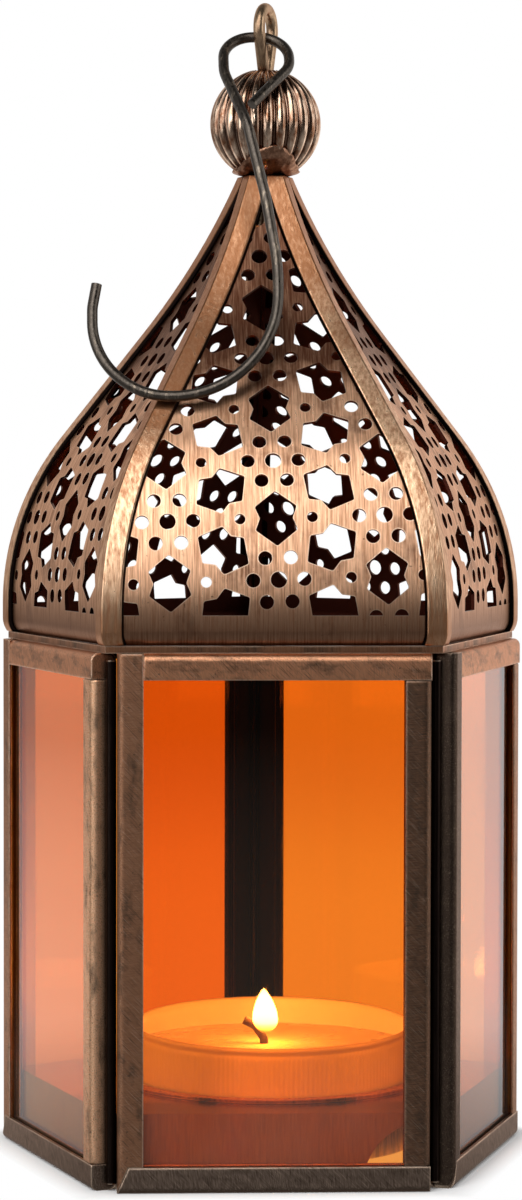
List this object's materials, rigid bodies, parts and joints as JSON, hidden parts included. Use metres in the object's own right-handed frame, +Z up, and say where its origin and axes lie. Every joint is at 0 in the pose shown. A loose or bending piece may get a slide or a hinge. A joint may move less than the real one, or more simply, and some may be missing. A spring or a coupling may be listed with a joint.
{
  "type": "candle lantern",
  "caption": "Small five-sided candle lantern with amber glass panels, a pierced ogee roof, a fluted finial, a wire hook and a push-fit base holding a tealight.",
  "frame": {"origin": "on the standing plane, under the finial, at the centre of the five-sided plan", "axes": "+Z up along the lantern's axis, -Y out of the front glass panel, +X to the right seen from the front"},
  "size_m": [0.0766, 0.0735, 0.1661],
  "materials": {
    "frame_copper": "brushed antique copper, dark patina",
    "roof_copper": "brushed antique copper",
    "worn_copper": "antique copper worn bright on the ridges",
    "dark_solder": "dark patinated solder",
    "hook_wire": "dark bronzed wire",
    "amber_glass": "clear amber",
    "cup_aluminium": "thin bright sheet",
    "wax": "smooth wax",
    "tinned_steel": "plain",
    "wick_cotton": "charred cotton"
  },
  "bodies": {
    "lantern": {"back_left_panel_bottom_rail": "frame_copper", "back_left_panel_left_stile": "frame_copper", "back_left_panel_pane": "amber_glass", "back_left_panel_right_stile": "frame_copper", "back_left_panel_top_rail": "frame_copper", "back_left_roof_rib": "worn_copper", "back_left_roof_sheet": "roof_copper", "back_right_panel_bottom_rail": "frame_copper", "back_right_panel_left_stile": "frame_copper", "back_right_panel_pane": "amber_glass", "back_right_panel_right_stile": "frame_copper", "back_right_panel_top_rail": "frame_copper", "back_right_roof_rib": "worn_copper", "back_right_roof_sheet": "roof_copper", "corner_solder": "dark_solder", "crown_collar": "dark_solder", "eye_pin": "worn_copper", "finial_bead": "worn_copper", "front_panel_bottom_rail": "frame_copper", "front_panel_left_stile": "frame_copper", "front_panel_pane": "amber_glass", "front_panel_right_stile": "frame_copper", "front_panel_top_rail": "frame_copper", "front_roof_rib": "worn_copper", "front_roof_sheet": "roof_copper", "left_panel_bottom_rail": "frame_copper", "left_panel_left_stile": "frame_copper", "left_panel_pane": "amber_glass", "left_panel_right_stile": "frame_copper", "left_panel_top_rail": "frame_copper", "left_roof_rib": "worn_copper", "left_roof_sheet": "roof_copper", "right_panel_bottom_rail": "frame_copper", "right_panel_left_stile": "frame_copper", "right_panel_pane": "amber_glass", "right_panel_right_stile": "frame_copper", "right_panel_top_rail": "frame_copper", "right_roof_rib": "worn_copper", "right_roof_sheet": "roof_copper", "roof_seat": "frame_copper"},
    "base": {"base_pan": "frame_copper", "candle_well": "frame_copper"},
    "tealight": {"tealight_cup": "cup_aluminium", "tealight_wax": "wax", "wick_tab": "tinned_steel", "wick": "wick_cotton"},
    "hook": {"hook": "hook_wire"}
  },
  "joints": [
    {"name": "base_slide", "type": "slide", "parent": "lantern", "child": "base", "axis": [0, 0, -1], "range_m": [0, 0.045]},
    {"name": "tealight_lift", "type": "slide", "parent": "base", "child": "tealight", "axis": [0, 0, 1], "range_m": [0, 0.03]},
    {"name": "hook_swing", "type": "hinge", "parent": "lantern", "child": "hook", "pos_m": [-0.0003, -0.0007, 0.16115], "axis": [-1, 0, 0], "range_deg": [0, 265]}
  ]
}
